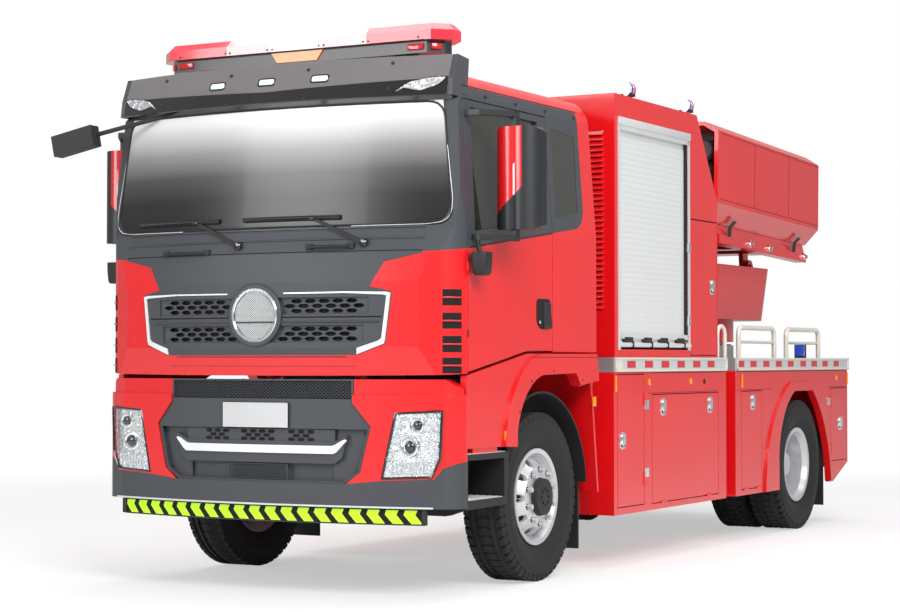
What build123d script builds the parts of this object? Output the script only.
from build123d import *
from functools import lru_cache
import math
import os

# Launcher fire truck, in millimetres. X runs forward, Y to the left, Z up.
# X is counted from the front axle while the pieces are made, and save() moves
# each one to the vehicle's frame, whose origin is on the ground at mid length.

# Overall sizes
WHEELBASE = 4600.0
FRONT_OVERHANG = 1408.0
REAR_OVERHANG = 1200.0
BODY_HALF = 1245.0
TRIM_OUT = 17.0
FRONT_AXLE_X = (WHEELBASE + REAR_OVERHANG - FRONT_OVERHANG) / 2
REAR_AXLE_X = -WHEELBASE
REAR_X = REAR_AXLE_X - REAR_OVERHANG

# Clearances
SEAT = 0.3
RUN = 0.3
DOOR_GAP = 6.0
HINGE_R = 9.0
HINGE_L = 45.0

# Wheels and tyres
TYRE_R = 522.0
TYRE_W = 292.0
BEAD_R = 285.0
FLANGE_R = 298.5
RIM_W = 229.0
FRONT_TRACK_HALF = 1030.0
TWIN_INNER_Y = 763.0
TWIN_OUTER_Y = 1096.0
KINGPIN_Y = 920.0
SPINDLE_R = 35.0
REAR_SPINDLE_R = 50.0
NUT_CIRCLE_R = 167.5
LINER_R = 640.0
STEP_HIGH_Z = 824.0

# Ladder frame
RAIL_OUTER_Y = 430.0
RAIL_INNER_Y = 350.0
RAIL_LOW = 720.0
RAIL_HIGH = 1000.0
RAIL_WEB = 10.0
CROSS_HIGH = RAIL_HIGH - RAIL_WEB - SEAT
RAIL_FRONT_X = 1150.0
CROSS_FRONT_X = 640.0
ENGINE_REAR_X = -700.0
GEARBOX_LENGTH = 700.0
GEARBOX_Z = 850.0
RADIATOR_HIGH = 1335.0
RAIL_REAR_X = REAR_X + 60.0
TOW_X = REAR_X + 32.0
TOW_LOW = 790.0
TOW_HIGH = 920.0
TOW_PIN_R = 20.0

# Cab
CURVE_R = 4464.0
CAB_REAR_X = -660.0
CAB_WALL = 60.0
CAB_FLOOR_Z = 1418.0
FLOOR_BEND_X = 325.0
SKIN = 40.0
ROOF_SPLIT_Z = 2900.0
CORNER_START_X = 1090.0
BELT_Z = 2150.0
EAVE_Z = 2880.0
EAVE_Y = 1190.0
ROOF_TOP_Z = 3168.0
DOOR_FRONT_X = 1085.0
DOOR_REAR_X = -20.0
PANEL_LOW_Z = 1266.0
COWL_Z = 1990.0
SCREEN_LOW_Z = 2140.0
SCREEN_HIGH_Z = 2865.0
TILT_X = 1280.0
TILT_Z = 600.0
TILT_PIN_R = 22.0
ARM_Y = (300.0, 340.0)
CAB_POST_X = -560.0
LIGHT_BAR_X = 840.0
LIGHT_BAR_HALF = 1045.0
LIGHT_BAR_LOW = 3175.0
LIGHT_BAR_SEAM = 3248.0
LIGHT_BAR_HIGH = 3348.0
VISOR_HALF = 1165.0
VISOR_LOW_Z = 2885.0
VISOR_HIGH_Z = 3128.0
MIRROR_LOW_Z = 2120.0
MIRROR_HIGH_Z = 2720.0

# Front openings: honeycomb rows of the grille, and the bumper's intake
CELL_PITCH = 90.0
CELL_HALF = 39.0
ROW_PITCH = 29.0
ROW_HALF = 12.0
MESH_ROWS = 3
MESH_HEIGHT = (MESH_ROWS + 0.4) * ROW_PITCH
MESH_BACK = 10.0
MESH_T = 11.0
GRILLE_ROWS = ((1632.0, 740.0), (1470.0, 710.0))
BADGE_Z = 1630.0
BADGE_R = 182.0
BUMPER_HIGH_Z = PANEL_LOW_Z - 10

# Body behind the cab
BOX_FRONT_X = -950.0
BOX_REAR_X = -2780.0
BOX_HIGH_Z = 3133.0
BOX_SLANT_X = -2385.0
BOX_SLANT_Z = 2535.0
BOX_WALL = 40.0
BOX_DOOR_TOP_Z = 2378.0
SHUTTER_FRONT_X = -1030.0
SHUTTER_REAR_X = -2220.0
SHUTTER_LOW_Z = 1450.0
SHUTTER_HIGH_Z = 2970.0
DECK_Z = 1385.0
DECK_T = 40.0
PAD_LENGTH = 460.0
PAD_T = 3.0
TAIL_LOW_Z = 640.0
TAIL_LAMP = (790.0, 1190.0, 700.0, 820.0)
TAIL_LAMP_DEEP = 22.0
RAIL_STRIP_LOW = 1290.0
BODY_LOW_Z = 345.0
LOCKER_TOP_Z = 1287.0
LOCKER_INNER_Y = 600.0
LOCKER_WALL = 30.0
LEAF_T = 35.0
MODULE_FRONT_X = -934.0
MODULE_SPLIT_X = -2943.0
MODULE_REAR_X = -3137.0
FLAP_TOP_Z = 1135.0

# Launcher
TURRET_X = -4550.0
TURRET_HALF = 780.0
TURRET_HALF_LOW = 735.0
TURRET_LOW_Z = 1520.0
TURRET_SEAM_Z = 1700.0
TURRET_HIGH_Z = 2140.0
TURRET_WALL = 40.0
RING_R = 640.0
POD_PIVOT_X = -5350.0
POD_PIVOT_Z = 2170.0
POD_PIN_R = 25.0
POD_FRONT_X = -3300.0
POD_REAR_X = -5650.0
POD_HALF = 1050.0
POD_WALL = 30.0
BEAM_Y = 900.0
POD_TOP_Z = 3200.0
POD_SIDE_HIGH_Z = 3130.0
POD_SIDE_LOW_Z = 2570.0
POD_LOW_Z = 2440.0
POD_DROP = 80.0
TUBE_R = 92.0
TUBE_PITCH = 210.0
CYL_BASE_X = -5200.0
CYL_BASE_Z = 1800.0
ROD_EYE_X = POD_PIVOT_X + 450.0
ROD_EYE_Z = POD_PIVOT_Z + 40.0
CYL_R = 48.0
ROD_R = 28.0
CYL_BARREL_L = 420.0
EYE_HALF = 50.0

PLANE_NORMAL = {"xz": (0, 1, 0), "xy": (0, 0, 1), "yz": (1, 0, 0)}


def place(plane, a, b):
    """A point of a drawing plane in space: xz side view, xy plan, yz front view."""
    return {"xz": (a, 0, b), "xy": (a, b, 0), "yz": (0, a, b)}[plane]


def drawing(plane, *steps):
    """A closed face. A step is an end point, or a mid and an end point for an arc."""
    here = steps[0]
    edges = []
    for step in steps[1:] + (steps[0],):
        if isinstance(step[0], tuple):
            middle, end = step
            edges.append(ThreePointArc(place(plane, *here), place(plane, *middle), place(plane, *end)))
            here = end
        elif step != here:
            edges.append(Line(place(plane, *here), place(plane, *step)))
            here = step
    return Face(Wire(edges))


def prism(plane, low, high, *steps):
    """A drawing pushed along its own normal from low to high."""
    return push(drawing(plane, *steps), plane, low, high)


def push(face, plane, low, high):
    normal = PLANE_NORMAL[plane]
    start = Pos(*(low * n for n in normal))
    return extrude(start * face, amount=high - low, dir=normal)


def rounded_slab(plane, low, high, a0, a1, b0, b1, radius):
    """A rectangle with round corners, pushed from low to high."""
    back = radius * (1 - math.sqrt(0.5))
    return prism(
        plane, low, high,
        (a0 + radius, b0), (a1 - radius, b0), ((a1 - back, b0 + back), (a1, b0 + radius)),
        (a1, b1 - radius), ((a1 - back, b1 - back), (a1 - radius, b1)),
        (a0 + radius, b1), ((a0 + back, b1 - back), (a0, b1 - radius)),
        (a0, b0 + radius), ((a0 + back, b0 + back), (a0 + radius, b0)),
    )


def block(x0, x1, y0, y1, z0, z1):
    middle = Pos((x0 + x1) / 2, (y0 + y1) / 2, (z0 + z1) / 2)
    return middle * Box(abs(x1 - x0), abs(y1 - y0), abs(z1 - z0))


def rod_y(x, z, radius, y0, y1):
    return Pos(x, (y0 + y1) / 2, z) * Rot(90, 0, 0) * Cylinder(radius, abs(y1 - y0))


def rod_z(x, y, radius, z0, z1):
    return Pos(x, y, (z0 + z1) / 2) * Cylinder(radius, abs(z1 - z0))


def both(shape):
    """The shape and its mirror image on the other side of the vehicle."""
    return shape + mirror(shape, about=Plane.XZ)


def tube(points, bend, radius):
    """A round tube along straight runs with equal bends."""
    path = FilletPolyline(*points, radius=bend)
    start = Plane(origin=path @ 0, z_dir=path % 0)
    return sweep(start * Circle(radius), path=path)


def save(name, shape):
    moved = Pos(FRONT_AXLE_X, 0, 0) * shape
    export_step(moved, "parts/" + name + ".step")


# Front curvature: every front piece turns about one upright line behind the cab

def around_front(*steps, half_angle=37.0):
    """A side drawing turned about the upright line that gives the front its plan arc."""
    centre_x = FRONT_OVERHANG - CURVE_R
    upright = Axis((centre_x, 0, 0), (0, 0, 1))
    face = drawing("xz", *steps).rotate(upright, -half_angle)
    return revolve(face, upright, revolution_arc=2 * half_angle)


def inset(face, amount):
    if amount == 0:
        return face
    return offset(face, amount=-amount, kind=Kind.INTERSECTION).face()


@lru_cache(maxsize=None)
def cab_section(amount=0):
    """Front view of the cab: upright sides, tumblehome above the belt, crowned roof."""
    face = drawing(
        "yz",
        (-BODY_HALF, 1000.0),
        (-BODY_HALF, BELT_Z),
        (-EAVE_Y, EAVE_Z),
        ((-EAVE_Y + 24, 2960.0), (-EAVE_Y + 95, 3035.0)),
        ((-600.0, 3142.0), (0.0, ROOF_TOP_Z)),
        ((600.0, 3142.0), (EAVE_Y - 95, 3035.0)),
        ((EAVE_Y - 24, 2960.0), (EAVE_Y, EAVE_Z)),
        (BODY_HALF, BELT_Z),
        (BODY_HALF, 1000.0),
    )
    return push(inset(face, amount), "yz", -1500.0, 2000.0)


@lru_cache(maxsize=None)
def cab_side(amount=0):
    """Side view of the cab: floor line over the wheel, roof line."""
    face = drawing(
        "xz",
        (CAB_REAR_X, CAB_FLOOR_Z),
        (FLOOR_BEND_X, CAB_FLOOR_Z),
        (1108.0, 1288.0),
        (1600.0, PANEL_LOW_Z),
        (1600.0, 3080.0),
        (1200.0, 3098.0),
        ((250.0, ROOF_TOP_Z), (CAB_REAR_X, 3125.0)),
    )
    return push(inset(face, amount), "xz", -1500.0, 1500.0)


@lru_cache(maxsize=None)
def cab_plan(amount=0):
    """Plan of the cab with its rounded front corners."""
    face = drawing(
        "xy",
        (CAB_REAR_X, -BODY_HALF),
        (CORNER_START_X, -BODY_HALF),
        ((1170.0, -1215.0), (1235.0, -1140.0)),
        (1450.0, -700.0),
        (1450.0, 700.0),
        (1235.0, 1140.0),
        ((1170.0, 1215.0), (CORNER_START_X, BODY_HALF)),
        (CAB_REAR_X, BODY_HALF),
    )
    return push(inset(face, amount), "xy", 500.0, 3500.0)


@lru_cache(maxsize=None)
def cab_front(amount=0):
    """The front surface: panel, cowl, windscreen and roof brow on one plan arc."""
    return around_front(
        (-900.0, 700.0),
        (1385.0 - amount, 700.0),
        (1385.0 - amount, PANEL_LOW_Z),
        (FRONT_OVERHANG - amount, 1440.0),
        (FRONT_OVERHANG - amount, 1820.0),
        (1392.0 - amount, 1985.0),
        (1348.0 - amount, 2125.0),
        (1276.0 - amount, 2868.0),
        (1200.0 - amount, 2925.0),
        (1090.0 - amount, 3070.0),
        (960.0 - amount, 3300.0),
        (-900.0, 3300.0),
    )


@lru_cache(maxsize=None)
def cab_form(amount=0):
    """The cab's outer form, or the same form moved inwards by a wall."""
    return cab_front(amount) & cab_side(amount) & cab_section(amount) & cab_plan(amount)


def front_zone(*steps):
    """A front view drawing as a cutter through the front of the vehicle."""
    return prism("yz", 900.0, 1700.0, *steps)


# Hinges: each has a barrel on the fixed side and one on the leaf, end to end on one axis

def hinge_rod(hinge, start, end, extra=0.0):
    """A left side barrel. A hinge is upright at (X, Y) or lies along X at (Y, Z)."""
    way, a, b, low = hinge
    radius = HINGE_R + extra
    if way == "upright":
        return rod_z(a, b, radius, low + start, low + end)
    return Pos(low + (start + end) / 2, a, b) * Rot(0, 90, 0) * Cylinder(radius, end - start)


def with_fixed_barrels(shape, hinges):
    """Adds the fixed barrels on both sides and leaves room for the turning ones."""
    for hinge in hinges:
        shape -= both(hinge_rod(hinge, HINGE_L, 2 * HINGE_L + 1, 1.0))
        shape += both(hinge_rod(hinge, 0, HINGE_L))
    return shape


def with_leaf_barrels(shape, hinges):
    """Adds the turning barrels to a left side leaf and leaves room for the fixed ones."""
    for hinge in hinges:
        shape -= hinge_rod(hinge, -1, HINGE_L + SEAT, 1.0)
        shape += hinge_rod(hinge, HINGE_L + SEAT, 2 * HINGE_L)
    return shape


# Driving outlines shared by neighbours

SCREEN = ((-1205.0, SCREEN_LOW_Z), (-1122.0, SCREEN_HIGH_Z), (1122.0, SCREEN_HIGH_Z), (1205.0, SCREEN_LOW_Z))
DOOR_SIDE = (
    (DOOR_FRONT_X, 1292.0),
    (DOOR_FRONT_X, 2050.0),
    (1058.0, EAVE_Z),
    (DOOR_REAR_X, EAVE_Z),
    (DOOR_REAR_X, CAB_FLOOR_Z),
    (FLOOR_BEND_X, CAB_FLOOR_Z),
)
CAB_DOOR_HINGES = tuple(("upright", DOOR_FRONT_X, BODY_HALF - 1, z) for z in (1450.0, 1880.0))
DOOR_WINDOW = ((1000.0, 2110.0), (955.0, 2835.0), (95.0, 2835.0), (95.0, 2225.0))
QUARTER_WINDOW = ((-85.0, 2250.0), (-85.0, 2815.0), (-430.0, 2790.0), (-405.0, 2300.0))
FRONT_ARCH = (
    (487.0, 700.0),
    (487.0, 938.0),
    ((345.0, 1180.0), (145.0, 1276.0)),
    (-323.0, 1285.0),
    ((-420.0, 1165.0), (-480.0, 700.0)),
)
REAR_ARCH = (
    (REAR_AXLE_X + 555, 300.0),
    (REAR_AXLE_X + 555, 600.0),
    ((REAR_AXLE_X + 420, 950.0), (REAR_AXLE_X + 180, 1120.0)),
    (REAR_AXLE_X - 250, 1120.0),
    ((REAR_AXLE_X - 560, 800.0), (REAR_AXLE_X - 710, 357.0)),
    (REAR_AXLE_X - 710, 300.0),
)


# Chassis

def frame():
    """Two channel rails, cross members, cab posts, tilt brackets and the rear tow jaw."""
    rail = block(RAIL_REAR_X, RAIL_FRONT_X, RAIL_INNER_Y, RAIL_OUTER_Y, RAIL_LOW, RAIL_HIGH)
    hollow = block(RAIL_REAR_X - 1, RAIL_FRONT_X + 1, RAIL_INNER_Y - 1, RAIL_OUTER_Y - RAIL_WEB,
                   RAIL_LOW + RAIL_WEB, RAIL_HIGH - RAIL_WEB)
    post = block(CAB_POST_X - 40, CAB_POST_X + 40, RAIL_INNER_Y, RAIL_OUTER_Y, RAIL_HIGH + SEAT,
                 CAB_FLOOR_Z - SEAT)
    flange_top = RAIL_LOW + RAIL_WEB + SEAT
    bracket = prism("xz", ARM_Y[1] + 10, ARM_Y[1] + 40, (1060.0, flange_top), (1060.0, CROSS_HIGH),
                    (1160.0, CROSS_HIGH), (TILT_X + 38, TILT_Z + 20), (TILT_X + 38, TILT_Z - 38),
                    (TILT_X - 40, TILT_Z - 38), (RAIL_FRONT_X + SEAT, RAIL_LOW - 80),
                    (RAIL_FRONT_X + SEAT, flange_top))
    pin = rod_y(TILT_X, TILT_Z, TILT_PIN_R, ARM_Y[0], ARM_Y[1] + 30)
    shape = both(rail - hollow + post + bracket + pin)
    half = RAIL_OUTER_Y - RAIL_WEB - SEAT
    for x in (CROSS_FRONT_X, -1700.0, -2900.0, REAR_AXLE_X + 700, REAR_AXLE_X - 700, RAIL_REAR_X + 60):
        shape += block(x - 40, x + 40, -half, half, CROSS_HIGH - 70, CROSS_HIGH)
    jaw = block(TOW_X - 30, RAIL_REAR_X + 99, -90.0, 90.0, TOW_LOW, CROSS_HIGH - 1)
    jaw -= block(TOW_X - 31, RAIL_REAR_X + 40, -91.0, 91.0, TOW_LOW + 35, TOW_HIGH - 35)
    jaw -= block(TOW_X - 31, RAIL_REAR_X + 40, -91.0, 91.0, TOW_HIGH, RAIL_HIGH)
    return shape + jaw - rod_z(TOW_X, 0, TOW_PIN_R, TOW_LOW - 5, TOW_HIGH + 5) + subframe()


def subframe():
    """Sills on the frame, and cross beams and outriggers that carry the lockers and the deck."""
    top = DECK_Z - DECK_T - SEAT
    shape = both(block(REAR_X + 40, MODULE_FRONT_X - 20, RAIL_INNER_Y, RAIL_OUTER_Y, RAIL_HIGH + SEAT, top))
    for x in (MODULE_FRONT_X - 80, -2200.0, MODULE_SPLIT_X + 60, MODULE_REAR_X - 60,
              REAR_AXLE_X + 850, REAR_X + 140):
        beam = RAIL_INNER_Y - SEAT
        shape += block(x - 40, x + 40, -beam, beam, 1160.0, top)
        shape += both(block(x - 40, x + 40, RAIL_OUTER_Y + SEAT, LOCKER_INNER_Y - SEAT, 1160.0, top))
    return shape


def leaf_pack(x, y, half_length, low, sag, thickness):
    """A bowed pack of leaves: shorter leaves under the main one."""
    pack = None
    for index, share in enumerate((1.0, 0.72, 0.46)):
        drop = index * thickness
        half = half_length * share
        ends = sag * share * share
        leaf = prism(
            "xz", y - 40, y + 40,
            (x - half, low + ends - drop),
            ((x, low - drop), (x + half, low + ends - drop)),
            (x + half, low + ends - drop + thickness + 1),
            ((x, low - drop + thickness + 1), (x - half, low + ends - drop + thickness + 1)),
        )
        pack = leaf if pack is None else pack + leaf
    return pack


def leaf_springs():
    shape = None
    for x, half, low, sag, thickness in ((0.0, 800.0, 632.0, 50.0, 14.0), (REAR_AXLE_X, 760.0, 652.0, 30.0, 18.0)):
        pack = leaf_pack(x, (RAIL_INNER_Y + RAIL_OUTER_Y) / 2, half, low, sag, thickness)
        for end in (-1, 1):
            top = RAIL_LOW - SEAT
            pack += block(x + end * (half - 30) - 30, x + end * (half - 30) + 30,
                          RAIL_INNER_Y + 5, RAIL_OUTER_Y - 5, low + sag, top)
        shape = both(pack) if shape is None else shape + both(pack)
    return shape


def front_axle():
    """Dropped beam with an upright eye at each end for the kingpin."""
    pad = 632.0 - 2 * 14.0
    beam = prism(
        "yz", -45, 45,
        (-KINGPIN_Y, 440.0), (-700.0, 440.0), (-520.0, 380.0), (520.0, 380.0), (700.0, 440.0), (KINGPIN_Y, 440.0),
        (KINGPIN_Y, 600.0), (680.0, 560.0), (520.0, 480.0), (-520.0, 480.0), (-680.0, 560.0), (-KINGPIN_Y, 600.0),
    )
    shape = beam
    seat_y = (RAIL_INNER_Y + RAIL_OUTER_Y) / 2
    for side in (-1, 1):
        shape += rod_z(0, side * KINGPIN_Y, 60.0, 430.0, 610.0)
        shape += block(-60, 60, side * seat_y - 45, side * seat_y + 45, 470.0, pad - SEAT)
    for side in (-1, 1):
        shape -= rod_z(0, side * KINGPIN_Y, 25.0 + RUN, 400.0, 640.0)
    return shape


def rear_axle():
    """Banjo housing, axle tubes with spring seats, and the wheel spindles."""
    x = REAR_AXLE_X
    low = 652.0 - 2 * 18.0
    shape = rod_y(x, TYRE_R, 90.0, -600.0, 600.0) + Pos(x, 0, TYRE_R) * Sphere(215.0)
    shape += Pos(x + 190, 0, TYRE_R + 10) * Rot(0, 90, 0) * Cone(130.0, 75.0, 180.0)
    shape += rod_y(x, TYRE_R, REAR_SPINDLE_R, -1110.0, 1110.0)
    seat_y = (RAIL_INNER_Y + RAIL_OUTER_Y) / 2
    for side in (-1, 1):
        shape += block(x - 70, x + 70, side * seat_y - 45, side * seat_y + 45, TYRE_R, low - SEAT)
    return shape


def driveline():
    """Engine and gearbox as plain masses, and the prop shaft to the rear axle."""
    engine = block(ENGINE_REAR_X, 450.0, -RAIL_INNER_Y + SEAT, RAIL_INNER_Y - SEAT, 740.0, 980.0)
    engine += block(ENGINE_REAR_X + 50, 400.0, -300.0, 300.0, 640.0, 1240.0)
    gearbox_rear = ENGINE_REAR_X - GEARBOX_LENGTH
    gearbox = Pos((ENGINE_REAR_X - SEAT + gearbox_rear) / 2, 0, GEARBOX_Z) * Rot(0, 90, 0) * Cone(
        160.0, 240.0, GEARBOX_LENGTH - SEAT)
    start = Vector(gearbox_rear - SEAT - 6, 0, GEARBOX_Z)
    end = Vector(REAR_AXLE_X + 280 + SEAT + 6, 0, TYRE_R + 10)
    run = end - start
    shaft = Plane(origin=(start + end) * 0.5, z_dir=run) * Cylinder(55.0, run.length)
    radiator = block(CROSS_FRONT_X - 40, CROSS_FRONT_X + 40, -285.0, 285.0, CROSS_HIGH + SEAT, RADIATOR_HIGH)
    return engine + gearbox + shaft + radiator


def bumper_skin(thickness, low, high, front=0.0):
    """A curved wall across the front with rounded ends, from low to high."""
    outer = around_front((-900.0, low), (FRONT_OVERHANG - front, low), (FRONT_OVERHANG - front, high),
                         (-900.0, high))
    inner = around_front((-900.0, low - 1), (FRONT_OVERHANG - front - thickness, low - 1),
                         (FRONT_OVERHANG - front - thickness, high + 1), (-900.0, high + 1))
    plan = bumper_plan(front)
    core = bumper_plan(front + thickness)
    return (outer & plan) - (inner & core)


def bumper_plan(amount):
    face = drawing(
        "xy",
        (600.0, -BODY_HALF - 10),
        (1120.0, -BODY_HALF - 10),
        ((1185.0, -1225.0), (1240.0, -1150.0)),
        (1460.0, -700.0),
        (1460.0, 700.0),
        (1240.0, 1150.0),
        ((1185.0, 1225.0), (1120.0, BODY_HALF + 10)),
        (600.0, BODY_HALF + 10),
    )
    return push(inset(face, amount), "xy", 300.0, 1400.0) & block(1106.0, 1500.0, -1300, 1300, 300, 1400)


LAMP_SIDE = ((820.0, 690.0), (1110.0, 702.0), (1158.0, 812.0), (1169.0, 1076.0), (901.0, 1062.0))
CENTRE_PANEL = ((-640.0, BUMPER_HIGH_Z), (-640.0, 1120.0), (-755.0, 985.0), (-690.0, 722.0), (-585.0, 655.0),
                (585.0, 655.0), (690.0, 722.0), (755.0, 985.0), (640.0, 1120.0), (640.0, BUMPER_HIGH_Z))
INTAKE = ((-728.0, 968.0), (-668.0, 728.0), (-578.0, 668.0), (578.0, 668.0), (668.0, 728.0), (728.0, 968.0))
INTAKE_BLADE = ((-600.0, 932.0), (-520.0, 896.0), (520.0, 896.0), (600.0, 932.0), (566.0, 800.0),
                (520.0, 768.0), (-520.0, 768.0), (-566.0, 800.0))
BAND_LOW = ((-1300.0, 806.0), (-1168.0, 752.0), (-1120.0, 690.0), (-815.0, 676.0), (-600.0, 655.5))


def mirrored(points):
    return tuple((-y, z) for y, z in reversed(points))


def bumper():
    """Dark lower lip and centre panel with its intake, on the frame's front."""
    lip = front_zone((-1300.0, 500.0), *BAND_LOW, *mirrored(BAND_LOW), (1300.0, 500.0))
    shape = bumper_skin(70.0, 520.0, 820.0) & lip
    shape += bumper_skin(60.0, 640.0, BUMPER_HIGH_Z, 12.0) & front_zone(*CENTRE_PANEL)
    mesh_band = front_zone((-628.0, 1142.0), (-628.0, 1246.0), (628.0, 1246.0), (628.0, 1142.0))
    shape -= mesh_band & bumper_skin(24.0, 640.0, BUMPER_HIGH_Z)
    intake = front_zone(*INTAKE)
    shape -= intake & bumper_skin(44.0, 640.0, BUMPER_HIGH_Z)
    shape -= front_zone((-500.0, 672.0), (-500.0, 758.0), (500.0, 758.0), (500.0, 672.0)) & bumper_skin(
        62.0, 640.0, BUMPER_HIGH_Z)
    shape += bumper_skin(8.0, 655.0, 770.0, 63.0) & front_zone((-520.0, 656.0), (-520.0, 769.0), (520.0, 769.0),
                                                             (520.0, 656.0))
    shape += bumper_skin(50.0, 640.0, BUMPER_HIGH_Z, 18.0) & front_zone(*INTAKE_BLADE)
    bracket = block(RAIL_FRONT_X + SEAT, 1345.0, RAIL_OUTER_Y - 40, RAIL_OUTER_Y - 10, 760.0, 960.0)
    return shape + both(bracket) + chevron_board()


def bumper_band():
    """Red band with the headlamp openings, split round the centre panel."""
    low = tuple((y, z + SEAT) for y, z in BAND_LOW)
    outline = front_zone(*low, (-690.5, 721.5), (-755.5, 985.0), (-640.5, 1120.3), (-640.5, BUMPER_HIGH_Z),
                         (-1170.0, BUMPER_HIGH_Z), (-1300.0, 1150.0))
    shape = bumper_skin(60.0, 640.0, 1260.0) & outline
    shape -= bumper_skin(18.0, 1168.0, 1270.0) & front_zone(
        (-1010.0, 1100.0), (-1300.0, 1100.0), (-1300.0, 1270.0), (-600.0, 1270.0), (-600.0, 1160.0))
    shape -= front_zone(*mirrored(LAMP_SIDE))
    return both(mirror(shape, about=Plane.XZ))


def headlamps():
    """Clear lamp bodies that fill the openings of the band."""
    shrink = drawing("yz", *LAMP_SIDE)
    zone = push(inset(shrink, SEAT), "yz", 900.0, 1700.0)
    return both(bumper_skin(110.0, 640.0, 1260.0, 4.0) & zone)


def chevron_board():
    """Striped plate that hangs below the bumper's lip."""
    board = bumper_skin(6.0, 425.0, 525.0, 22.0)
    return board & block(900, 1500, -1060, 1060, 400, 526)


def steps_and_liners():
    """Entry steps below the doors, each an open box on an arm, with the arch liners."""
    outline = ((560.0, STEP_HIGH_Z), (1102.0, STEP_HIGH_Z), (1102.0, 508.0), (590.0, 514.0))
    body = prism("xz", 900.0, BODY_HALF - 5, *outline)
    body -= block(620.0, 1070.0, 950.0, BODY_HALF, 560.0, 790.0)
    arm = block(700.0, 780.0, RAIL_OUTER_Y + SEAT, 905.0, 740.0, 800.0)
    return both(body + arm) + arch_liners()


def front_mudguards():
    """Side panel below the door with the raised flare round the wheel arch."""
    top = DOOR_GAP * 2
    panel = prism(
        "xz", BODY_HALF - 40, BODY_HALF,
        (1100.0, 859.0), (1100.0, 1289.0 - top), (FLOOR_BEND_X, CAB_FLOOR_Z - top), (CAB_REAR_X, CAB_FLOOR_Z - top),
        (-668.0, 1235.0), (-395.0, 1200.0), (-300.0, 1150.0), (487.0, 935.0), (640.0, 857.0),
    )
    flare = prism(
        "xz", BODY_HALF - 60, BODY_HALF + TRIM_OUT,
        (640.0, 856.0), ((450.0, 1260.0), (165.0, CAB_FLOOR_Z - top - 2)), (-640.0, CAB_FLOOR_Z - top - 2),
        (-668.0, 1235.0), (-323.0, 1200.0), (145.0, 1150.0), (480.0, 850.0),
    )
    guard = prism(
        "xz", BODY_HALF - 300, BODY_HALF - 20,
        (-668.0, 1280.0), (-640.0, 1180.0), (-665.0, 1050.0), (-735.0, 515.0), (-715.0, 515.0),
        (-640.0, 1060.0), (-600.0, 1280.0),
    )
    lug = block(700.0, 1000.0, BODY_HALF - 38, BODY_HALF - 12, STEP_HIGH_Z + SEAT, 870.0)
    shape = (panel + flare) - prism("xz", 900.0, 1400.0, *FRONT_ARCH) + guard + lug
    return both(shape)


def arch_liners():
    """Round liners above the front wheels, and the mud flaps."""
    inner, outer = LINER_R, LINER_R + 12
    y0, y1 = 860.0, 1180.0
    ring = rod_y(0, TYRE_R, outer, y0, y1) - rod_y(0, TYRE_R, inner, y0 - 1, y1 + 1)
    ring &= block(-700, 545, y0, y1, TYRE_R + 60, 1300.0)
    arm = block(-40, 40, RAIL_OUTER_Y + SEAT, y0 + 20, TYRE_R + 560, TYRE_R + 600)
    arm += block(-40, 40, y0 - 30, y0 + 20, TYRE_R + 560, TYRE_R + inner + 6)
    arm += block(-40, 40, RAIL_OUTER_Y + SEAT, RAIL_OUTER_Y + 30, RAIL_HIGH - 80, TYRE_R + 600)
    shape = ring + arm + block(-outer - 3, -inner, y0, y1 - 60, 150.0, TYRE_R + 90)
    rear_flap = block(REAR_AXLE_X - 690, REAR_AXLE_X - 680, 640.0, 1200.0, 150.0, 620.0)
    rear_flap += block(REAR_AXLE_X - 700, REAR_AXLE_X - 670, RAIL_OUTER_Y + SEAT, 1200.0, 620.0, RAIL_LOW + 40)
    return both(shape + rear_flap)


# Body

def box_outline(amount=0.0):
    return (
        (BOX_FRONT_X - amount, DECK_Z + SEAT + amount),
        (BOX_FRONT_X - amount, BOX_HIGH_Z - amount),
        (BOX_SLANT_X - 0.5 * amount, BOX_HIGH_Z - amount),
        (BOX_REAR_X + amount, BOX_SLANT_Z - 0.3 * amount),
        (BOX_REAR_X + amount, DECK_Z + SEAT + amount),
    )


def upright_hinges(x, *lows):
    return tuple(("upright", x, BODY_HALF, low) for low in lows)


def sill_hinges(z, *lows):
    return tuple(("lying", BODY_HALF, z, low) for low in lows)


# Each leaf opening: front X, rear X, low Z, high Z, and its hinges
BOX_DOOR = (SHUTTER_REAR_X - 30, BOX_REAR_X + 15, DECK_Z + 15, BOX_DOOR_TOP_Z,
            upright_hinges(SHUTTER_REAR_X - 30 - DOOR_GAP, 1500.0, 2200.0))
LOCKER_A = (-985.0, -1430.0, 390.0, 1275.0, upright_hinges(-1430.0 + DOOR_GAP, 520.0, 1060.0))
LOCKER_B = (-1560.0, -2790.0, 385.0, FLAP_TOP_Z, sill_hinges(385.0 + DOOR_GAP, -2640.0, -1800.0))
LOCKER_C = (-3255.0, -3700.0, 385.0, FLAP_TOP_Z, sill_hinges(385.0 + DOOR_GAP, -3660.0, -3390.0))
LOCKER_D = (-5345.0, -5770.0, 515.0, FLAP_TOP_Z, upright_hinges(-5345.0 - DOOR_GAP, 578.0, 980.0))


def equipment_box():
    """Hollow tall box with a shutter opening and a rear side door on each side."""
    shape = prism("xz", -BODY_HALF, BODY_HALF, *box_outline())
    shape -= prism("xz", -BODY_HALF + BOX_WALL, BODY_HALF - BOX_WALL, *box_outline(BOX_WALL))
    shape -= block(SHUTTER_REAR_X, SHUTTER_FRONT_X, -1300, 1300, SHUTTER_LOW_Z, SHUTTER_HIGH_Z)
    x_front, x_rear, low, high, hinges = BOX_DOOR
    shape -= block(x_rear, x_front, -1300, 1300, low, high)
    return with_fixed_barrels(shape, hinges) + louvres()


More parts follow.
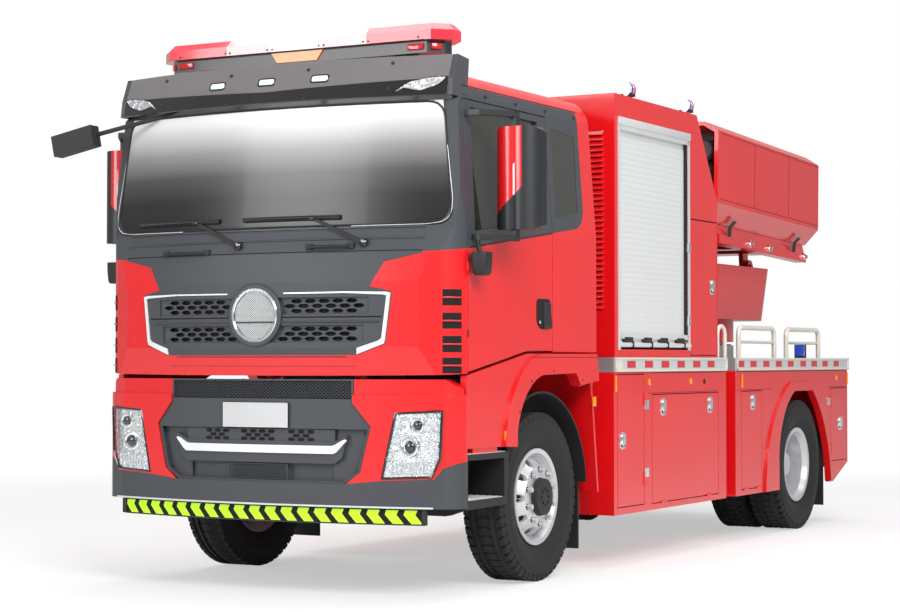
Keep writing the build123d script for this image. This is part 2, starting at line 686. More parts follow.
def louvres():
    """Slats on the forward wall, one sloped blade to each row."""
    pitch = 36.0
    rows = 33
    low = 1712.0
    shape = None
    for row in range(rows):
        z = low + row * pitch
        blade = prism("xz", 640.0, 1166.0,
                      (BOX_FRONT_X - 1, z), (BOX_FRONT_X + 20, z - 4), (BOX_FRONT_X - 1, z + 24))
        shape = blade if shape is None else shape + blade
    return both(shape)


def shutters():
    """Closed roller curtains in their openings, with a bottom bar."""
    gap = SEAT
    curtain = block(SHUTTER_REAR_X + gap, SHUTTER_FRONT_X - gap, BODY_HALF - 34, BODY_HALF - 14,
                    SHUTTER_LOW_Z + gap, SHUTTER_HIGH_Z - gap)
    header = block(SHUTTER_REAR_X + gap, SHUTTER_FRONT_X - gap, BODY_HALF - 34, BODY_HALF + 6,
                   SHUTTER_HIGH_Z - 70, SHUTTER_HIGH_Z - gap)
    bar = block(SHUTTER_REAR_X + 30, SHUTTER_FRONT_X - 30, BODY_HALF - 20, BODY_HALF + 6,
                SHUTTER_LOW_Z + 60, SHUTTER_LOW_Z + 95)
    return both(curtain + header + bar)


def leaf(opening):
    """A flat left side door leaf, clear of its opening all round, on its hinges."""
    x_front, x_rear, low, high, hinges = opening
    shape = block(x_rear + DOOR_GAP, x_front - DOOR_GAP, BODY_HALF - LEAF_T, BODY_HALF,
                  low + DOOR_GAP, high - DOOR_GAP)
    return with_leaf_barrels(shape, hinges)


def door_hole(opening):
    x_front, x_rear, low, high, hinges = opening
    return block(x_rear, x_front, BODY_HALF - LEAF_T - 25, BODY_HALF + 60, low, high)


def hollow_module(x_front, x_rear, low, high):
    """A closed sheet metal locker from its inner wall to the side."""
    shell = block(x_rear, x_front, LOCKER_INNER_Y, BODY_HALF, low, high)
    room = block(x_rear + LOCKER_WALL, x_front - LOCKER_WALL, LOCKER_INNER_Y + LOCKER_WALL,
                 BODY_HALF - LEAF_T, low + LOCKER_WALL, high - LOCKER_WALL)
    return shell - room


def lockers_front():
    shape = hollow_module(MODULE_FRONT_X, MODULE_SPLIT_X, BODY_LOW_Z, LOCKER_TOP_Z)
    shape += block(-1510.0, -1480.0, LOCKER_INNER_Y, BODY_HALF - 1, BODY_LOW_Z + 1, LOCKER_TOP_Z - 1)
    shape = both(shape - door_hole(LOCKER_A) - door_hole(LOCKER_B))
    return with_fixed_barrels(shape, LOCKER_A[-1] + LOCKER_B[-1])


def lockers_rear():
    """Rear modules with the wheel arch, its flare, and the chamfered tail."""
    front = hollow_module(MODULE_REAR_X, REAR_AXLE_X + 800, BODY_LOW_Z, LOCKER_TOP_Z)
    top = block(REAR_AXLE_X - 745, REAR_AXLE_X + 801, BODY_HALF - LEAF_T, BODY_HALF, BODY_LOW_Z, LOCKER_TOP_Z)
    top += block(REAR_AXLE_X - 745, REAR_AXLE_X + 801, LOCKER_INNER_Y, BODY_HALF, 1225.0, LOCKER_TOP_Z)
    rear = hollow_module(REAR_AXLE_X - 715, REAR_X, 470.0, LOCKER_TOP_Z)
    skirt = block(REAR_X, REAR_AXLE_X - 705, BODY_HALF - LEAF_T, BODY_HALF, BODY_LOW_Z, 520.0)
    shape = front + top + rear + skirt
    flare = prism(
        "xz", BODY_HALF - 40, BODY_HALF + TRIM_OUT,
        (REAR_AXLE_X + 850, BODY_LOW_Z), ((REAR_AXLE_X + 640, 920.0), (REAR_AXLE_X + 265, 1190.0)),
        (REAR_AXLE_X - 160, 1190.0), ((REAR_AXLE_X - 500, 980.0), (REAR_AXLE_X - 714, BODY_LOW_Z + 10)),
    )
    shape += flare
    shape -= prism("xz", LOCKER_INNER_Y - 1, 1300.0, *REAR_ARCH)
    shape -= prism("xz", 500.0, 1300.0, (REAR_X - 10, 500.0), (REAR_X - 10, 300.0), (REAR_AXLE_X - 690, 300.0))
    shape -= tail_lamp_body(0.0)
    shape = both(shape - door_hole(LOCKER_C) - door_hole(LOCKER_D))
    return with_fixed_barrels(shape, LOCKER_C[-1] + LOCKER_D[-1])


def tail_lamp_body(clearance):
    """A left tail lamp, flush in the rear wall of the last locker."""
    y0, y1, z0, z1 = TAIL_LAMP
    return rounded_slab("yz", REAR_X, REAR_X + TAIL_LAMP_DEEP - clearance, y0 + clearance, y1 - clearance,
                        z0 + clearance, z1 - clearance, 20.0)


def deck():
    """Deck plate on the subframe, notched where the side ladders rise."""
    low = DECK_Z - DECK_T
    shape = block(REAR_X, MODULE_FRONT_X, -BODY_HALF + 2, BODY_HALF - 2, low, DECK_Z)
    sill = block(MODULE_SPLIT_X, MODULE_FRONT_X, LOCKER_INNER_Y, BODY_HALF - 2, LOCKER_TOP_Z + SEAT, low)
    sill += block(REAR_X, MODULE_REAR_X, LOCKER_INNER_Y, BODY_HALF - 2, LOCKER_TOP_Z + SEAT, low)
    shape += both(sill)
    notch = block(MODULE_REAR_X, MODULE_SPLIT_X, 1050.0, 1300.0, low - 60, DECK_Z + 5)
    shape -= both(notch)
    tail = block(REAR_X, REAR_X + 30, -LOCKER_INNER_Y + SEAT, LOCKER_INNER_Y - SEAT, TAIL_LOW_Z, low)
    tail -= block(REAR_X - 1, REAR_X + 31, -130.0, 130.0, TAIL_LOW_Z - 1, TOW_HIGH + 60)
    pad = block(BOX_REAR_X - PAD_LENGTH, BOX_REAR_X - 20, -1000.0, 1000.0, DECK_Z - 1, DECK_Z + PAD_T)
    return shape + pad + tail + turntable_base()


def deck_rails():
    """Reflective rub rails, tube guards, grab rails and the ladder hoop."""
    shape = None
    for x0, x1 in ((MODULE_SPLIT_X, MODULE_FRONT_X), (REAR_X + 4, MODULE_REAR_X - 11)):
        rail = block(x0, x1, BODY_HALF - 2 + SEAT, BODY_HALF + 9, RAIL_STRIP_LOW, DECK_Z)
        for z0 in (RAIL_STRIP_LOW, DECK_Z - 12):
            rail += block(x0, x1, BODY_HALF - 2 + SEAT, BODY_HALF + TRIM_OUT, z0, z0 + 12)
        shape = both(rail) if shape is None else shape + both(rail)
    guard_y = 1100.0
    radius = 19.0
    for x0, x1 in ((-4375.0, -3580.0), (-5460.0, -4660.0)):
        top = 1640.0 - radius
        hoop = tube([(x0, guard_y, DECK_Z + SEAT), (x0, guard_y, top), (x1, guard_y, top),
                     (x1, guard_y, DECK_Z + SEAT)], 60.0, radius)
        hoop += Pos((x0 + x1) / 2, guard_y, 1510.0) * Rot(0, 90, 0) * Cylinder(12.0, x1 - x0)
        shape += both(hoop)
    grab = tube([(-2910.0, 1190.0, DECK_Z + SEAT), (-2910.0, 1190.0, 1620.0), (-3060.0, 1190.0, 1620.0),
                 (-3060.0, 1190.0, 1345.0)], 70.0, 16.0)
    return shape + both(grab & block(-4000, 0, 0, 2000, DECK_Z + SEAT, 2000))


def turntable_base():
    """Slewing ring that the turret turns on."""
    ring = rod_z(TURRET_X, 0, RING_R, DECK_Z + SEAT, TURRET_LOW_Z - 30)
    ring += rod_z(TURRET_X, 0, RING_R - 60, TURRET_LOW_Z - 31, TURRET_LOW_Z - SEAT)
    return ring


def beacons():
    """Side beacons on the box, the small ones on the deck, and the tail lamps."""
    shape = None
    for x in (-1350.0, -2385.0):
        foot = block(x - 35, x + 35, 1125.0, 1175.0, BOX_HIGH_Z + SEAT, BOX_HIGH_Z + 25)
        body = Pos(x, 1150.0, BOX_HIGH_Z + 70) * Rot(0, 90, 0) * Cylinder(55.0, 90)
        body += block(x - 45, x + 45, 1100.0, 1200.0, BOX_HIGH_Z + 24, BOX_HIGH_Z + 70)
        lamp = both(foot + body)
        shape = lamp if shape is None else shape + lamp
    deck_lamp = block(-4800.0, -4720.0, 1150.0, 1225.0, DECK_Z + SEAT, DECK_Z + 110)
    return shape + both(deck_lamp + tail_lamp_body(SEAT))


# Cab

def door_zone(amount, inner_y=900.0):
    face = inset(drawing("xz", *DOOR_SIDE), amount)
    return push(face, "xz", inner_y, 1400.0)


def cab_shell():
    """Floor, rear wall, pillars and firewall, with doors and windows cut out."""
    shape = cab_form(0) - cab_form(CAB_WALL)
    shape &= block(-1500, 2000, -1500, 1500, 1000, ROOF_SPLIT_Z)
    shape -= front_skin_zone() & (cab_form(0) - cab_front(SKIN))
    shape -= front_zone(*SCREEN)
    floor_top = CAB_FLOOR_Z + CAB_WALL
    shape -= both(door_zone(0) & block(-1500, 2000, BODY_HALF - CAB_WALL - 90, 1400, floor_top, 3000))
    shape -= both(block(DOOR_REAR_X, DOOR_FRONT_X, BODY_HALF - CAB_WALL - 1, 1400, 1200, floor_top + 1))
    shape -= both(prism("xz", 900.0, 1400.0, *QUARTER_WINDOW))
    return with_fixed_barrels(shape + tilt_arms(), CAB_DOOR_HINGES)


def tilt_arms():
    """Goose-neck arms that reach back round the bumper from the tilt pins to the floor."""
    arm = prism("xz", *ARM_Y, (TILT_X - 28, TILT_Z - 26), (TILT_X + 22, TILT_Z + 30), (780.0, 1062.0),
                (780.0, 1400.0), (700.0, 1400.0), (700.0, 1030.0))
    arm += rod_y(TILT_X, TILT_Z, 38.0, *ARM_Y)
    arm -= rod_y(TILT_X, TILT_Z, TILT_PIN_R + RUN, ARM_Y[0] - 1, ARM_Y[1] + 1)
    return both(arm)


def front_skin_zone(amount=0.0):
    """Front view outline of the moulded front: red panel and grey grille together."""
    half = 1055.0 - amount
    low = 885.0 - amount
    return front_zone((-low, 1200.0), (-low, 1333.0), (-half, 1700.0), (-half, COWL_Z + 130 - amount),
                      (half, COWL_Z + 130 - amount), (half, 1700.0), (low, 1333.0), (low, 1200.0))


GREY_OUTLINE = ((-1100.0, 2200.0), (-1100.0, COWL_Z), (-829.0, 1930.0), (-745.0, 1790.0),
                (-880.0, 1760.0), (-842.0, 1458.0), (-665.0, 1396.0))


def front_skin():
    return (cab_form(0) - cab_front(SKIN - SEAT)) & front_skin_zone(SEAT)


def front_panel():
    """Red moulded panel that frames the grille."""
    return front_skin() - front_zone(*GREY_OUTLINE, *mirrored(GREY_OUTLINE))


def honeycomb(half_y, low):
    """Left half of one mesh row in front view: a strip less staggered six-sided cells."""
    high = low + MESH_HEIGHT
    margin = 8.0
    strip = drawing("yz", (0.0, low - margin), (half_y + margin, low - margin), (half_y + margin, high + margin),
                    (0.0, high + margin))
    cells = []
    half = CELL_HALF / 2
    for row in range(MESH_ROWS):
        z = low + (row + 0.7) * ROW_PITCH
        for column in range(int(half_y / CELL_PITCH) + 1):
            y = (column + 0.5 * (row % 2)) * CELL_PITCH
            clear_of_badge = math.hypot(y, z - BADGE_Z) > BADGE_R + CELL_HALF
            if clear_of_badge and CELL_HALF < y < half_y - CELL_HALF:
                cells.append(drawing("yz", (y - CELL_HALF, z), (y - half, z + ROW_HALF), (y + half, z + ROW_HALF),
                                     (y + CELL_HALF, z), (y + half, z - ROW_HALF), (y - half, z - ROW_HALF)))
    return strip - cells


def grille():
    """Grey upper panel and grille: two honeycomb rows set back in it, and the badge disc."""
    face = inset(drawing("yz", *GREY_OUTLINE, *mirrored(GREY_OUTLINE)), SEAT)
    shape = front_skin() & push(face, "yz", 900.0, 1700.0)
    for low, half_y in GRILLE_ROWS:
        high = low + MESH_HEIGHT
        shape -= front_zone((-half_y, low), (-half_y, high), (half_y, high), (half_y, low))
        chord_turn = math.degrees(math.atan2(half_y, 2 * CURVE_R))
        back = Pos(FRONT_OVERHANG - MESH_BACK, 0, 0) * Rot(0, 0, chord_turn)
        for part in honeycomb(half_y, low).faces():
            shape += both(back * push(part, "yz", -MESH_T, 0.0))
    boss = Pos(0, 0, BADGE_Z) * Rot(0, 90, 0) * Cylinder(BADGE_R, 3600)
    return shape + (boss & (cab_form(0) - cab_front(SKIN - SEAT)))


def cab_roof():
    shape = cab_form(0) - cab_form(CAB_WALL - 15)
    return shape & block(-1500, 2000, -1500, 1500, ROOF_SPLIT_Z + SEAT, 3400)


def cab_glass():
    """Bonded windscreen and the quarter windows."""
    pane = cab_form(3) - cab_form(9)
    face = inset(drawing("yz", *SCREEN), SEAT)
    shape = pane & push(face, "yz", 900.0, 1700.0)
    side = inset(drawing("xz", *QUARTER_WINDOW), SEAT)
    shape += both(pane & push(side, "xz", 1000.0, 1400.0))
    return shape


def sun_visor():
    """Smoked strip across the brow, standing off on three brackets."""
    strip = around_front((1318.0, VISOR_LOW_Z), (1324.0, VISOR_LOW_Z + 4), (1306.0, 2985.0), (1248.0, VISOR_HIGH_Z),
                         (1238.0, VISOR_HIGH_Z), (1298.0, 2982.0), half_angle=20.0)
    strip &= front_zone((-VISOR_HALF, 2860.0), (-VISOR_HALF, 3140.0), (VISOR_HALF, 3140.0), (VISOR_HALF, 2860.0))
    cheek = prism("xz", VISOR_HALF - 12, VISOR_HALF + 22, (1165.0, VISOR_LOW_Z), (1150.0, 2985.0),
                  (1092.0, VISOR_HIGH_Z), (960.0, VISOR_HIGH_Z - 14), (985.0, VISOR_LOW_Z))
    strip += both(cheek) - cab_form(0)
    beyond = around_front((1302.0, 2983.0), (1500.0, 2983.0), (1500.0, VISOR_HIGH_Z), (1243.0, VISOR_HIGH_Z),
                          half_angle=20.0)
    for y in (-900.0, -300.0, 300.0, 900.0):
        arm = block(1050.0, 1310.0, y - 12, y + 12, 2990.0, 3020.0)
        strip += arm - cab_form(0) - beyond
    return strip


def bar_plan(half_x, half_y, cut):
    """Plan of the light bar: long sides, and ends that taper to a short nose."""
    x = LIGHT_BAR_X
    return ((x - half_x, cut - half_y), (x - half_x, half_y - cut), (x - half_x + cut, half_y),
            (x + half_x - cut, half_y), (x + half_x, half_y - cut), (x + half_x, cut - half_y),
            (x + half_x - cut, -half_y), (x - half_x + cut, -half_y))


def light_bar():
    """Roof light bar on two feet: a narrow base under a bevelled lens with tapered ends."""
    base = prism("xy", LIGHT_BAR_LOW, LIGHT_BAR_SEAM + 1, *bar_plan(120.0, LIGHT_BAR_HALF - 60, 80.0))
    lens = prism("xy", LIGHT_BAR_SEAM, LIGHT_BAR_HIGH, *bar_plan(145.0, LIGHT_BAR_HALF, 100.0))
    lens = chamfer(lens.faces().sort_by(Axis.Z)[-1].edges(), 40.0)
    feet = None
    for y in (-700.0, 700.0):
        foot = block(LIGHT_BAR_X - 80, LIGHT_BAR_X + 80, y - 40, y + 40, 3000.0, LIGHT_BAR_LOW + 1)
        foot -= Pos(0, 0, SEAT) * cab_form(0)
        feet = foot if feet is None else feet + foot
    return base + lens + feet


def wipers_and_front_mirror():
    """Two wipers on the cowl and the front view mirror above the right corner."""
    shape = None
    sheet = around_front((1383.0, 2010.0), (1350.0, 2125.0), (1342.0, 2215.0), (1354.0, 2215.0), (1364.0, 2125.0),
                         (1395.0, 2010.0), half_angle=20.0)
    for y in (-139.0, 700.0):
        joint = y - 350.0
        arm = front_zone((y - 12, 2030.0), (y + 12, 2046.0), (joint + 10, 2200.0), (joint - 10, 2190.0))
        blade = front_zone((joint - 480, 2188.0), (joint + 180, 2188.0), (joint + 180, 2210.0), (joint - 480, 2210.0))
        pivot = Pos(1374.0 - y * y / (2 * CURVE_R), y, 2042.0) * Rot(0, 76, 0) * Cylinder(22.0, 44.0)
        wiper = (sheet & (arm + blade)) + pivot
        wiper -= cab_form(0)
        shape = wiper if shape is None else shape + wiper
    root = Vector(1150.0, -690.0, 2905.0)
    head = Vector(1350.0, -1380.0, 2740.0)
    run = head - root
    stalk = Plane(origin=(root + head) * 0.5, z_dir=run) * Cylinder(14.0, run.length)
    stalk -= cab_form(0)
    mirror_head = Pos(head.X, -1390.0, head.Z - 10) * Rot(12, 0, 4) * Box(90, 300, 130)
    return shape + stalk + mirror_head


def cab_interior():
    """Dashboard, steering wheel, engine hump and two seats."""
    dash = prism("xz", -1050.0, 1050.0, (1500.0, 1560.0), (1500.0, 2060.0), (930.0, 2080.0),
                 (850.0, 1960.0), (930.0, 1560.0)) & cab_form(CAB_WALL + SEAT)
    wheel_at_centre = Pos(720.0, 560.0, 2010.0) * Rot(0, -30, 0)
    column = wheel_at_centre * Pos(0, 0, -200.0) * Cylinder(30.0, 400.0)
    wheel = wheel_at_centre * Torus(230.0, 17.0)
    spokes = wheel_at_centre * (Box(60, 450, 20) + Cylinder(60, 40))
    shape = dash + column + wheel + spokes
    floor_z = CAB_FLOOR_Z + CAB_WALL
    for y in (-560.0, 560.0):
        seat = block(-150.0, 380.0, y - 250, y + 250, 1800.0, 1930.0)
        seat += block(-60.0, 300.0, y - 180, y + 180, floor_z + SEAT, 1801.0)
        back = prism("xz", y - 240, y + 240, (-150.0, 1860.0), (-20.0, 1860.0), (-180.0, 2520.0), (-290.0, 2520.0))
        shape += seat + back
    return shape


def cab_door(side):
    """Door as thick as the cab wall, with its window cut, mirror arms and mirror."""
    shape = door_zone(DOOR_GAP) & (cab_section(0) - cab_section(CAB_WALL - 5))
    shape -= prism("xz", 900.0, 1400.0, *DOOR_WINDOW)
    shape += block(30.0, 120.0, BODY_HALF - 10, BODY_HALF + 12, 1560.0, 1720.0)
    shape += mirror_arm(1200.0, MIRROR_LOW_Z - 65, MIRROR_LOW_Z - 30, MIRROR_LOW_Z + 5)
    shape += mirror_arm(1150.0, MIRROR_HIGH_Z + 55, MIRROR_HIGH_Z + 90, MIRROR_HIGH_Z - 5)
    shape = with_leaf_barrels(shape + mirror_head(), CAB_DOOR_HINGES)
    return shape if side > 0 else mirror(shape, about=Plane.XZ)


def mirror_arm(root_y, low, high, post_end):
    """A flat moulded arm from the door's front edge, with a short post to the mirror."""
    arm = prism("xy", low, high, (1046.0, root_y), (1046.0, 1300.0), (850.0, 1436.0), (800.0, 1436.0),
                (800.0, 1404.0), (838.0, 1404.0), (1010.0, 1284.0), (1010.0, root_y))
    return arm + block(800.0, 850.0, 1404.0, 1436.0, min(low, post_end), max(high, post_end))


def mirror_head():
    """Tall mirror housing: a rounded shell forwards, the glass set into its flat back."""
    head = prism(
        "xy", MIRROR_LOW_Z, MIRROR_HIGH_Z,
        (740.0, 1300.0), (800.0, 1290.0), ((860.0, 1330.0), (875.0, 1430.0)), ((860.0, 1530.0), (800.0, 1570.0)),
        (740.0, 1580.0),
    )
    head &= rounded_slab("yz", 700.0, 900.0, 1284.0, 1586.0, MIRROR_LOW_Z, MIRROR_HIGH_Z, 60.0)
    return head - block(735.0, 748.0, 1330.0, 1550.0, MIRROR_LOW_Z + 40, MIRROR_HIGH_Z - 40)


def door_glass(side):
    face = inset(drawing("xz", *DOOR_WINDOW), SEAT)
    shape = push(face, "xz", 900.0, 1400.0) & (cab_section(20) - cab_section(26))
    return shape if side > 0 else mirror(shape, about=Plane.XZ)


# Wheels

def tyre(y):
    """Radial tyre section turned about the axle line at offset y."""
    half = TYRE_W / 2
    tread = half - 22
    face = drawing(
        "yz",
        (y - 100.0, BEAD_R), (y - 101.0, FLANGE_R + 6), ((y - half, BEAD_R + 125), (y - tread - 8, TYRE_R - 30)),
        (y - tread, TYRE_R), (y + tread, TYRE_R), (y + tread + 8, TYRE_R - 30),
        ((y + half, BEAD_R + 125), (y + 101.0, FLANGE_R + 6)), (y + 100.0, BEAD_R),
    )
    return revolve(face, Axis((0, 0, 0), (0, 1, 0)))


def front_rim():
    """Front wheel: rim, dished disc with hand holes, hub and brake drum."""
    y = FRONT_TRACK_HALF
    rim = drawing(
        "yz",
        (y - 114, FLANGE_R), (y - 104, FLANGE_R), (y - 100, BEAD_R - SEAT), (y - 60, 262.0), (y + 60, 262.0),
        (y + 100, BEAD_R - SEAT), (y + 104, FLANGE_R), (y + 114, FLANGE_R), (y + 110, 270.0), (y + 70, 250.0),
        (y + 60, 246.0), (y + 128, 190.0), (y + 134, 150.0), (y + 134, 118.0), (y + 170, 112.0), (y + 176, 60.0),
        (y + 176, 0.0), (y + 110, 0.0), (y + 110, SPINDLE_R + RUN), (y - 45, SPINDLE_R + RUN), (y - 45, 205.0),
        (y - 30, 205.0), (y - 20, 120.0), (y + 112, 118.0), (y + 112, 150.0), (y + 106, 185.0), (y + 40, 236.0),
        (y - 60, 246.0),
    )
    shape = revolve(rim, Axis((0, 0, 0), (0, 1, 0)))
    for index in range(10):
        angle = math.radians(36 * index)
        cx, cz = 215 * math.cos(angle), 215 * math.sin(angle)
        shape -= rod_y(cx, cz, 24.0, y + 30, y + 160)
        nx, nz = NUT_CIRCLE_R * math.cos(angle + 0.31), NUT_CIRCLE_R * math.sin(angle + 0.31)
        shape += rod_y(nx, nz, 16.0, y + 110, y + 165)
    return shape


def rear_rims():
    """Twin wheels: two rims back to back, deep outer dish, hub and drum."""
    inner, outer = TWIN_INNER_Y, TWIN_OUTER_Y
    middle = (inner + outer) / 2
    shape = None
    for y, out in ((inner, -1), (outer, 1)):
        face = drawing(
            "yz",
            (y - 114, FLANGE_R), (y - 104, FLANGE_R), (y - 100, BEAD_R - SEAT), (y - 60, 262.0), (y + 60, 262.0),
            (y + 100, BEAD_R - SEAT), (y + 104, FLANGE_R), (y + 114, FLANGE_R), (y + 110, 268.0), (y + 70, 246.0),
            (y - 70, 246.0), (y - 110, 268.0),
        )
        rim = revolve(face, Axis((0, 0, 0), (0, 1, 0)))
        shape = rim if shape is None else shape + rim
    dish = drawing("yz", (middle - 6, 118.0), (middle + 6, 118.0), (middle + 6, 190.0), (outer - 60, 247.0),
                   (outer - 76, 247.0), (middle - 6, 200.0))
    dish2 = drawing("yz", (middle + 6, 118.0), (middle - 6, 118.0), (middle - 6, 190.0), (inner + 60, 247.0),
                    (inner + 76, 247.0), (middle + 6, 200.0))
    hub = drawing("yz", (middle - 120, REAR_SPINDLE_R + RUN), (middle - 120, 205.0), (middle - 105, 205.0),
                  (middle - 95, 120.0), (middle + 60, 120.0), (middle + 150, 105.0), (middle + 190, 90.0),
                  (middle + 190, 0.0), (middle + 184, 0.0), (middle + 184, REAR_SPINDLE_R + RUN))
    for face in (dish, dish2, hub):
        shape += revolve(face, Axis((0, 0, 0), (0, 1, 0)))
    for index in range(10):
        angle = math.radians(36 * index)
        shape += rod_y(NUT_CIRCLE_R * math.cos(angle), NUT_CIRCLE_R * math.sin(angle), 16.0, middle, middle + 42)
    return shape


def wheel_at(shape, x, side):
    moved = Pos(x, 0, TYRE_R) * shape
    return moved if side > 0 else mirror(moved, about=Plane.XZ)


def knuckle(side):
    """Forked knuckle with the kingpin and the wheel spindle."""
    y = KINGPIN_Y
    shape = rod_z(0, y, 25.0, 395.0, 645.0)
    for low, high in ((390.0, 428.0), (612.0, 650.0)):
        shape += rod_z(0, y, 58.0, low, high) + block(-50, 50, y, y + 62, low, high)
    shape += block(-50, 50, y + 61, y + 64.5, 390.0, 650.0)
    shape += rod_y(0, TYRE_R, SPINDLE_R, y + 62, FRONT_TRACK_HALF + 100)
    return shape if side > 0 else mirror(shape, about=Plane.XZ)


# Launcher

def turret():
    """Open well with flared walls on a slewing drum, lugs for the pod and the cylinder."""
    drum = rod_z(TURRET_X, 0, RING_R, TURRET_LOW_Z, TURRET_SEAM_Z + 40)
    low = Pos(TURRET_X, 0, TURRET_SEAM_Z) * RectangleRounded(2 * TURRET_HALF_LOW, 2 * TURRET_HALF_LOW, 260)
    high = Pos(TURRET_X, 0, TURRET_HIGH_Z) * RectangleRounded(2 * TURRET_HALF, 2 * TURRET_HALF, 260)
    wall = TURRET_WALL
    low_in = Pos(TURRET_X, 0, TURRET_SEAM_Z + wall) * RectangleRounded(
        2 * (TURRET_HALF_LOW - wall), 2 * (TURRET_HALF_LOW - wall), 225)
    high_in = Pos(TURRET_X, 0, TURRET_HIGH_Z + 1) * RectangleRounded(
        2 * (TURRET_HALF - wall), 2 * (TURRET_HALF - wall), 225)
    shape = drum + loft([low.face(), high.face()]) - loft([low_in.face(), high_in.face()])
    shape -= block(POD_PIVOT_X - 70, POD_PIVOT_X + 75, -560.0, 560.0, POD_PIVOT_Z - 80, POD_PIVOT_Z + 80)
    plate = prism("xz", 500.0, 535.0, (POD_PIVOT_X + 40, POD_PIVOT_Z - 400), (POD_PIVOT_X - 60, POD_PIVOT_Z),
                  ((POD_PIVOT_X, POD_PIVOT_Z + 60), (POD_PIVOT_X + 60, POD_PIVOT_Z)),
                  (POD_PIVOT_X + 260, TURRET_HIGH_Z - 80), (POD_PIVOT_X + 260, POD_PIVOT_Z - 400))
    shape += both(plate)
    shape -= rod_y(POD_PIVOT_X, POD_PIVOT_Z, POD_PIN_R + RUN, -600, 600)
    ear = prism("xz", EYE_HALF + 5, EYE_HALF + 25, (CYL_BASE_X - 50, TURRET_SEAM_Z + wall - 1),
                (CYL_BASE_X - 50, CYL_BASE_Z), ((CYL_BASE_X, CYL_BASE_Z + 50), (CYL_BASE_X + 50, CYL_BASE_Z)),
                (CYL_BASE_X + 50, TURRET_SEAM_Z + wall - 1))
    shape += both(ear)
    shape += rod_y(CYL_BASE_X, CYL_BASE_Z, 20.0, -EYE_HALF - 25, EYE_HALF + 25)
    return shape


def cylinder_line():
    """The cylinder's base pin and the run from it to the rod's eye."""
    base = Vector(CYL_BASE_X, 0, CYL_BASE_Z)
    return base, Vector(ROD_EYE_X, 0, ROD_EYE_Z) - base


def lift_cylinder():
    base, run = cylinder_line()
    along = Plane(origin=base, z_dir=run)
    barrel = along * Pos(0, 0, (CYL_BARREL_L + 30) / 2) * Cylinder(CYL_R, CYL_BARREL_L - 30)
    shape = barrel + rod_y(CYL_BASE_X, CYL_BASE_Z, 42.0, -EYE_HALF, EYE_HALF)
    shape -= rod_y(CYL_BASE_X, CYL_BASE_Z, 20.0 + RUN, -EYE_HALF - 1, EYE_HALF + 1)
    shape -= along * Pos(0, 0, (CYL_BARREL_L + 90) / 2) * Cylinder(ROD_R + RUN, CYL_BARREL_L - 90 + 2)
    return shape


def lift_rod():
    base, run = cylinder_line()
    along = Plane(origin=base, z_dir=run)
    start = 110.0
    shape = along * Pos(0, 0, (run.length + start) / 2) * Cylinder(ROD_R, run.length - start)
    shape += rod_y(ROD_EYE_X, ROD_EYE_Z, 40.0, -EYE_HALF, EYE_HALF)
    return shape - rod_y(ROD_EYE_X, ROD_EYE_Z, 20.0, -EYE_HALF - 1, EYE_HALF + 1)


def pod_turn():
    """The pod's nose-up rest: a turn about its front top edge."""
    drop = math.degrees(math.atan2(POD_DROP, POD_FRONT_X - POD_REAR_X))
    return Pos(POD_FRONT_X, 0, POD_TOP_Z) * Rot(0, -drop, 0) * Pos(-POD_FRONT_X, 0, -POD_TOP_Z)


def pod_shell():
    """Eight-sided launcher box, open at the front, on a tapered tray with beams."""
    mouth = drawing(
        "yz",
        (-POD_HALF, POD_SIDE_LOW_Z), (-POD_HALF, POD_SIDE_HIGH_Z), (-POD_HALF + 110, POD_TOP_Z),
        (POD_HALF - 110, POD_TOP_Z), (POD_HALF, POD_SIDE_HIGH_Z), (POD_HALF, POD_SIDE_LOW_Z),
        (POD_HALF - 120, POD_LOW_Z), (-POD_HALF + 120, POD_LOW_Z),
    )
    outer = push(mouth, "yz", POD_REAR_X, POD_FRONT_X)
    inner = push(inset(mouth, POD_WALL), "yz", POD_REAR_X + POD_WALL, POD_FRONT_X + 1)
    tray_low = POD_LOW_Z - 80
    tray = prism("yz", POD_REAR_X + 40, POD_FRONT_X - 250, (-POD_HALF + 130, POD_LOW_Z + 1),
                 (-BEAM_Y - 40, tray_low), (BEAM_Y + 40, tray_low), (POD_HALF - 130, POD_LOW_Z + 1))
    tray -= block(POD_REAR_X + 300, POD_FRONT_X - 500, -760, 760, tray_low - 10, POD_LOW_Z - 15)
    shape = outer - inner + tray
    for y in (-BEAM_Y, BEAM_Y):
        shape += block(POD_REAR_X + 20, POD_FRONT_X - 300, y - 50, y + 50, tray_low - 70, tray_low + 1)
    for x in (POD_PIVOT_X + 20, ROD_EYE_X, POD_FRONT_X - 500):
        shape += block(x - 60, x + 60, -BEAM_Y, BEAM_Y, tray_low - 10, tray_low + 40)
    shape = pod_turn() * shape
    ear = prism("xz", 455.0, 495.0, (POD_PIVOT_X - 60, POD_PIVOT_Z), ((POD_PIVOT_X, POD_PIVOT_Z - 60),
                (POD_PIVOT_X + 60, POD_PIVOT_Z)), (POD_PIVOT_X + 80, POD_PIVOT_Z + 130),
                (POD_PIVOT_X - 40, POD_PIVOT_Z + 130))
    shape += both(ear + rod_y(POD_PIVOT_X, POD_PIVOT_Z, POD_PIN_R, 454.0, 550.0))
    clevis = prism("xz", EYE_HALF + 5, EYE_HALF + 25, (ROD_EYE_X - 45, ROD_EYE_Z),
                   ((ROD_EYE_X, ROD_EYE_Z - 45), (ROD_EYE_X + 45, ROD_EYE_Z)), (ROD_EYE_X + 45, tray_low + 10),
                   (ROD_EYE_X - 45, tray_low + 10))
    return shape + both(clevis)


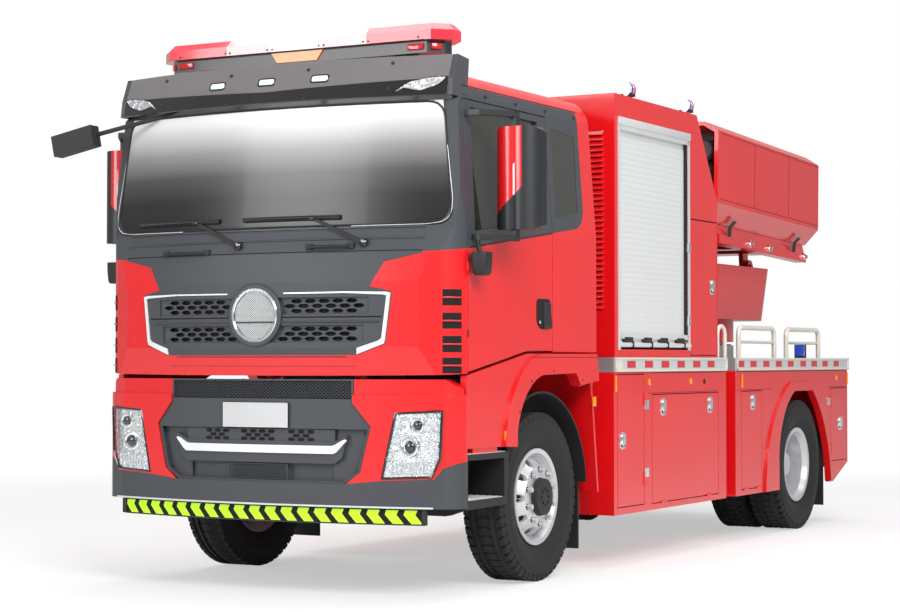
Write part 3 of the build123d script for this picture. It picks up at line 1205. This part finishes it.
def launch_tubes():
    """Three rows of closed tubes held by two rack plates inside the pod."""
    length = 1900.0
    front = POD_FRONT_X - 220.0
    shape = None
    for x in (front - 120, front - length + 150):
        plate = block(x - 12, x + 12, -880.0, 880.0, POD_LOW_Z + POD_WALL + SEAT, POD_TOP_Z - POD_WALL - SEAT)
        shape = plate if shape is None else shape + plate
    for z in (2590.0, 2800.0, 3010.0):
        for column in range(-4, 5):
            tube_at = Pos(front - length / 2, column * TUBE_PITCH, z) * Rot(0, 90, 0)
            shape += tube_at * Cylinder(TUBE_R, length) + tube_at * Cylinder(TUBE_R - 20, length + 24)
    return pod_turn() * shape


SIDES = (("left", 1), ("right", -1))


def main():
    os.makedirs("parts", exist_ok=True)
    single = {
        "frame": frame, "leaf_springs": leaf_springs, "front_axle": front_axle,
        "rear_axle": rear_axle, "driveline": driveline, "bumper": bumper, "bumper_band": bumper_band,
        "headlamps": headlamps, "steps_and_liners": steps_and_liners,
        "front_mudguards": front_mudguards, "equipment_box": equipment_box,
        "shutters": shutters, "lockers_front": lockers_front, "lockers_rear": lockers_rear, "deck": deck,
        "deck_rails": deck_rails, "beacons": beacons,
        "cab_shell": cab_shell, "cab_roof": cab_roof, "cab_glass": cab_glass, "front_panel": front_panel,
        "grille": grille, "sun_visor": sun_visor, "light_bar": light_bar,
        "wipers_and_front_mirror": wipers_and_front_mirror, "cab_interior": cab_interior,
        "turret": turret, "lift_cylinder": lift_cylinder, "lift_rod": lift_rod, "pod_shell": pod_shell,
        "launch_tubes": launch_tubes,
    }
    for name, make in single.items():
        save(name, make())
    leaves = {"locker_door_a": LOCKER_A, "locker_door_b": LOCKER_B, "locker_door_c": LOCKER_C,
              "locker_door_d": LOCKER_D, "box_door": BOX_DOOR}
    front_wheel = front_rim()
    rear_wheel = rear_rims()
    for word, side in SIDES:
        for name, opening in leaves.items():
            panel = leaf(opening)
            save(name + "_" + word, panel if side > 0 else mirror(panel, about=Plane.XZ))
        save("cab_door_" + word, cab_door(side))
        save("door_glass_" + word, door_glass(side))
        save("knuckle_" + word, knuckle(side))
        save("front_wheel_" + word, wheel_at(front_wheel, 0, side))
        save("front_tyre_" + word, wheel_at(tyre(FRONT_TRACK_HALF), 0, side))
        save("rear_wheel_" + word, wheel_at(rear_wheel, REAR_AXLE_X, side))
        save("rear_tyres_" + word, wheel_at(tyre(TWIN_INNER_Y) + tyre(TWIN_OUTER_Y), REAR_AXLE_X, side))


main()
